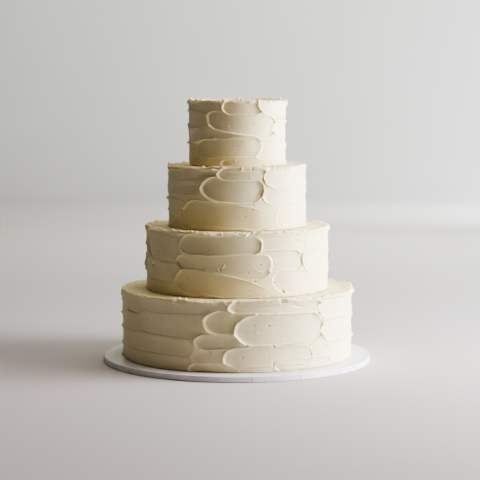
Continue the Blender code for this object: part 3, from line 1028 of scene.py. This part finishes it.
# ---- stage ----
FLOOR_FLAT = 2.6  # radius of the flat part, in metres like all of the stage
FLOOR_SWEEP = 0.9  # radius of the curve into the backdrop
FLOOR_WALL = 0.6  # height of the upright part
FLOOR_DROP = 0.0002  # how far the floor lies under the cake
SWEEP_STEPS = 12
FLOOR_STEPS = 128
AimedLight = namedtuple(
    "AimedLight", "name azimuth elevation distance width height setting share colour"
)
AIMED_LIGHTS = (
    AimedLight("key", 90.0, 8.0, 1.1, 0.5, 0.6, "key_power", 1.0, (0.81, 0.91, 1.0)),
    AimedLight("fill", 75.0, 5.0, 1.1, 0.75, 0.5, "key_power", 0.5, (0.92, 0.94, 1.0)),
    AimedLight("shoulder", 75.0, 35.0, 1.1, 0.6, 0.6, "key_power", 0.43, (1.0, 0.75, 0.69)),
    AimedLight("top_side", 90.0, 70.0, 1.3, 0.7, 0.7, "top_power", 0.58, (0.83, 0.83, 1.0)),
    AimedLight("top", 0.0, 88.0, 1.3, 0.8, 0.8, "top_power", 1.0, (1.0, 0.86, 0.66)),
)
WashLight = namedtuple("WashLight", "name place tilt turn width height share colour spread",
                       defaults=(180.0,))
WASH_LIGHTS = (
    WashLight("backdrop_low", (1.2, 1.75, 0.75), 74.0, -10.0, 1.2, 0.5, 1.15, (0.94, 0.95, 1.0)),
    WashLight("backdrop_floor", (0.85, 1.15, 1.2), 0.0, 0.0, 1.4, 1.0, 0.2, (1.0, 0.98, 0.96),
              90.0),
    WashLight("backdrop_middle", (0.5, 1.6, 1.3), 60.0, 10.0, 1.6, 0.8, 0.5, (1.0, 0.92, 0.83)),
    WashLight("backdrop_wide", (0.3, 1.2, 1.6), 45.0, 0.0, 2.4, 1.2, 0.73, (0.94, 1.0, 0.88)),
)
CAMERA_LENS = 120.0  # in millimetres, as is the sensor
CAMERA_SENSOR = 36.0
CAMERA_PLACE = (0.0, -1.826, 0.3135)
CAMERA_DIP = 5.51  # degrees below the level
CAMERA_TURN = -0.104  # degrees off the front's middle


def make_floor(settings):
    """A round floor that sweeps up into a backdrop on every side."""
    profile = [(0.0, 0.0)]
    for step in range(SWEEP_STEPS + 1):
        angle = math.pi / 2.0 * step / SWEEP_STEPS
        profile.append((FLOOR_FLAT + FLOOR_SWEEP * math.sin(angle),
                        FLOOR_SWEEP - FLOOR_SWEEP * math.cos(angle)))
    profile.append((FLOOR_FLAT + FLOOR_SWEEP, FLOOR_SWEEP + FLOOR_WALL))
    mesh = bpy.data.meshes.new("studio_floor")
    points = [(reach, 0.0, height - FLOOR_DROP) for reach, height in profile]
    mesh.from_pydata(points, [(i, i + 1) for i in range(len(points) - 1)], [])
    floor = new_object("studio_floor", mesh)
    turn = floor.modifiers.new("turn", "SCREW")
    turn.steps = FLOOR_STEPS
    turn.render_steps = FLOOR_STEPS
    turn.use_merge_vertices = True
    turn.merge_threshold = 0.0001
    turn.use_smooth_shade = True
    mesh.materials.append(floor_material(settings))


def area_light(light, place, rotation, power, spread):
    """A rectangular light that the camera doesn't see."""
    data = bpy.data.lights.new(light.name, "AREA")
    data.shape = "RECTANGLE"
    data.size = light.width
    data.size_y = light.height
    data.energy = power
    data.color = light.colour
    data.spread = math.radians(spread)
    made = new_object(light.name, data)
    made.location = place
    made.rotation_euler = rotation
    made.visible_camera = False


def make_lights(settings):
    """Lights aimed at the cake, with azimuths from the front towards +X, and backdrop lights."""
    low, high = CAD_BOUNDS
    for light in AIMED_LIGHTS:
        turn = math.radians(light.azimuth)
        lift = math.radians(light.elevation)
        place = (
            light.distance * math.cos(lift) * math.sin(turn),
            -light.distance * math.cos(lift) * math.cos(turn),
            (low.z + high.z) / 2.0 + light.distance * math.sin(lift),
        )
        power = getattr(settings, light.setting) * light.share
        area_light(light, place, (math.pi / 2.0 - lift, 0.0, turn), power, 180.0)
    for light in WASH_LIGHTS:
        rotation = (math.radians(light.tilt), 0.0, math.radians(light.turn))
        power = settings.backdrop_power * light.share
        area_light(light, light.place, rotation, power, light.spread)


def make_camera():
    """The camera stands in front of the cake, a little above its top, and looks down slightly."""
    data = bpy.data.cameras.new("camera")
    data.lens = CAMERA_LENS
    data.sensor_width = CAMERA_SENSOR
    camera = new_object("camera", data)
    camera.location = CAMERA_PLACE
    camera.rotation_euler = (math.radians(90.0 - CAMERA_DIP), 0.0, math.radians(CAMERA_TURN))
    bpy.context.scene.camera = camera


# ---- operators ----
class CAKE_OT_board(bpy.types.Operator):
    """Make the wrapped board"""

    bl_idname = "cake.board"
    bl_label = "Make Board"

    def execute(self, context):
        settings = context.scene.cake_board
        add_piece(board_mesh(settings), wrapping_material(settings), "cake_board")
        return {"FINISHED"}


class CAKE_OT_tiers(bpy.types.Operator):
    """Make the buttercream of all tiers"""

    bl_idname = "cake.tiers"
    bl_label = "Make Tiers"

    def execute(self, context):
        settings = context.scene.cake_buttercream
        finish = buttercream_material(settings)
        for index, node in enumerate(TIERS):
            add_piece(tier_mesh(index, settings), finish, node)
        return {"FINISHED"}


class CAKE_OT_stage(bpy.types.Operator):
    """Make the floor, the lights and the camera"""

    bl_idname = "cake.stage"
    bl_label = "Make Stage"

    def execute(self, context):
        settings = context.scene.cake_stage
        make_floor(settings)
        make_lights(settings)
        make_camera()
        world = bpy.data.worlds.new("world")
        world.use_nodes = True
        feed(world.node_tree.nodes["Background"], {"Color": (1.0, 1.0, 1.0, 1.0), "Strength": 0.0})
        context.scene.world = world
        context.scene.view_settings.view_transform = "AgX"
        context.scene.view_settings.look = "AgX - Very High Contrast"
        return {"FINISHED"}


class CAKE_PT_panel(bpy.types.Panel):
    """Lists the pieces of the cake"""

    bl_label = "Tiered Wedding Cake"
    bl_idname = "CAKE_PT_panel"
    bl_space_type = "VIEW_3D"
    bl_region_type = "UI"
    bl_category = "Cake"

    def draw(self, context):
        for settings, operator in (
            (context.scene.cake_board, CAKE_OT_board),
            (context.scene.cake_buttercream, CAKE_OT_tiers),
            (context.scene.cake_stage, CAKE_OT_stage),
        ):
            box = self.layout.box()
            for name in settings.__annotations__:
                box.prop(settings, name)
            box.operator(operator.bl_idname)


SETTINGS = {
    "cake_buttercream": CakeButtercreamSettings,
    "cake_board": CakeBoardSettings,
    "cake_stage": CakeStageSettings,
}
CLASSES = (*SETTINGS.values(), CAKE_OT_board, CAKE_OT_tiers, CAKE_OT_stage, CAKE_PT_panel)


def register():
    """Add the classes and the settings."""
    for entry in CLASSES:
        bpy.utils.register_class(entry)
    for name, group in SETTINGS.items():
        setattr(bpy.types.Scene, name, PointerProperty(type=group))


def unregister():
    """Remove the settings and the classes."""
    for name in SETTINGS:
        delattr(bpy.types.Scene, name)
    for entry in reversed(CLASSES):
        bpy.utils.unregister_class(entry)


def main():
    """Build the cake and its stage."""
    register()
    bpy.ops.cake.board()
    bpy.ops.cake.tiers()
    bpy.ops.cake.stage()


if __name__ == "__main__":
    main()
